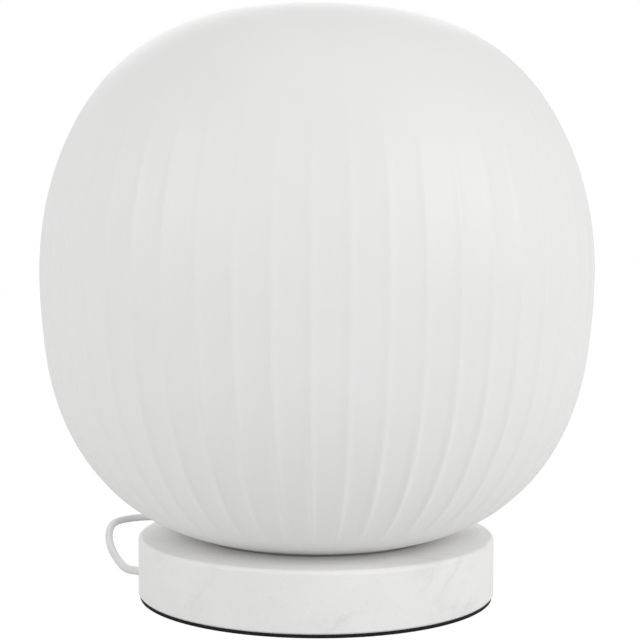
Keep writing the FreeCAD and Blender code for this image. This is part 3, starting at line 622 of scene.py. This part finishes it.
def backdrop_share(tree):
    """1 to the camera and through clear pieces, a share in a reflection, 0 for its light."""
    path = tree.nodes.new("ShaderNodeLightPath")
    mirrored = tree.nodes.new("ShaderNodeMath")
    mirrored.operation = "MULTIPLY_ADD"
    mirrored.inputs[1].default_value = MIRRORED_SHARE
    tree.links.new(path.outputs["Is Glossy Ray"], mirrored.inputs[0])
    tree.links.new(path.outputs["Is Camera Ray"], mirrored.inputs[2])
    either = tree.nodes.new("ShaderNodeMath")
    either.operation = "MAXIMUM"
    tree.links.new(mirrored.outputs[0], either.inputs[0])
    tree.links.new(path.outputs["Is Transmission Ray"], either.inputs[1])
    return either.outputs[0]


def make_floor():
    """Pale floor that shows white to the camera and still takes the lamp's shadow."""
    bpy.ops.mesh.primitive_plane_add(size=FLOOR_SIZE)
    floor = bpy.context.object
    floor.name = "floor"
    made = Nodes("floor")
    made.set(Roughness=0.9, Base_Color=grey(0.80))
    shine = made.add("Emission")
    shine.inputs["Strength"].default_value = FLOOR_WHITE
    seen = made.add("Math", operation="MULTIPLY")
    seen.inputs[1].default_value = FLOOR_WHITE_SHARE
    made.join(backdrop_share(made.tree), seen.inputs[0])
    mix = made.add("MixShader")
    made.join(seen.outputs[0], mix.inputs["Fac"])
    made.join(made.shader.outputs["BSDF"], mix.inputs[1])
    made.join(shine.outputs["Emission"], mix.inputs[2])
    made.join(mix.outputs["Shader"], made.output.inputs["Surface"])
    floor.data.materials.append(made.material)


def make_world():
    """Even studio surround: plain white to the camera and paler in reflections."""
    world = bpy.data.worlds.new("studio")
    bpy.context.scene.world = world
    world.use_nodes = True
    tree = world.node_tree
    back = tree.nodes["Background"]
    back.inputs["Color"].default_value = grey(1.0)
    level = tree.nodes.new("ShaderNodeMapRange")
    level.inputs["To Min"].default_value = ROOM_LIGHT
    level.inputs["To Max"].default_value = 1.0
    tree.links.new(backdrop_share(tree), level.inputs["Value"])
    tree.links.new(level.outputs["Result"], back.inputs["Strength"])


def area_light(name, place, target, size, power):
    """A soft box aimed at a point; size in metres, power in watts."""
    data = bpy.data.lights.new(name, "AREA")
    data.shape = "RECTANGLE"
    data.size, data.size_y = size
    data.energy = power
    light = bpy.data.objects.new(name, data)
    bpy.context.scene.collection.objects.link(light)
    light.location = place
    light.rotation_mode = "QUATERNION"
    light.rotation_quaternion = (Vector(target) - Vector(place)).to_track_quat("-Z", "Y")


def make_lights():
    """A soft box on each side, the right one stronger, and a weaker one high behind."""
    middle = (0.0, 0.0, 0.18)
    area_light("side_right", (1.65, -1.10, 1.00), middle, (0.9, 1.2), 13.2)
    area_light("side_left", (-1.65, -1.15, 1.00), middle, (0.9, 1.2), 9.5)
    area_light("back", (-0.20, 2.10, 1.30), middle, (1.8, 0.8), 8.0)


# ---------------------------------------------------------------- assembly
def paint_nodes(materials):
    """Gives each node that stays shown the finish of its slot."""
    slots = {row["node"]: row["material_slot"] for row in frame["record"]["subparts"]}
    for node, piece in frame["nodes"].items():
        material = materials.get(slots.get(node))
        if material:
            piece.data.materials.clear()
            piece.data.materials.append(material)


def main():
    make_camera()
    white = (0.86, 0.86, 0.85)
    materials = {
        "opal_glass": opal_glass(),
        "marble": marble(),
        "foam_pad": foam(),
        "cord_pvc": plastic("cord_pvc", (0.84, 0.84, 0.83), 0.42, 900.0, 0.08),
        "plug_pvc": plastic("plug_pvc", white, 0.4),
        "switch_plastic": plastic("switch_plastic", white, 0.45),
        "rocker_plastic": plastic("rocker_plastic", white, 0.25, 1500.0, 0.03),
        "white_plastic": plastic("white_plastic", white, 0.4),
        "bulb_plastic": plastic("bulb_plastic", (0.88, 0.88, 0.87), 0.35),
        "bulb_opal": plastic("bulb_opal", (0.90, 0.90, 0.89), 0.3, 800.0, 0.03),
        "holder_ceramic": plastic("holder_ceramic", (0.82, 0.80, 0.74), 0.2, 500.0, 0.05),
        "black_plastic": plastic("black_plastic", (0.02, 0.02, 0.02), 0.2),
        "silicone": plastic("silicone", (0.75, 0.75, 0.73), 0.55),
        "wire_pvc": plastic("wire_pvc", (0.14, 0.19, 0.42), 0.4),
        "white_steel": plastic("white_steel", white, 0.35, 600.0, 0.12),
        "zinc_steel": metal("zinc_steel", (0.62, 0.63, 0.64), 0.35),
        "spring_steel": metal("spring_steel", (0.66, 0.66, 0.66), 0.28, 0.1),
        "nickel": metal("nickel", (0.78, 0.76, 0.73), 0.2),
        "brass": metal("brass", (0.80, 0.62, 0.30), 0.3),
        "tie_fabric": tie_fabric(),
    }
    paint_nodes(materials)
    make_boots(materials["cord_pvc"], materials["plug_pvc"])
    make_tie(materials["tie_fabric"])
    make_cords(materials["cord_pvc"])
    make_globe(materials["opal_glass"])
    make_floor()
    make_world()
    make_lights()
    bpy.context.scene.view_settings.view_transform = "Standard"


main()
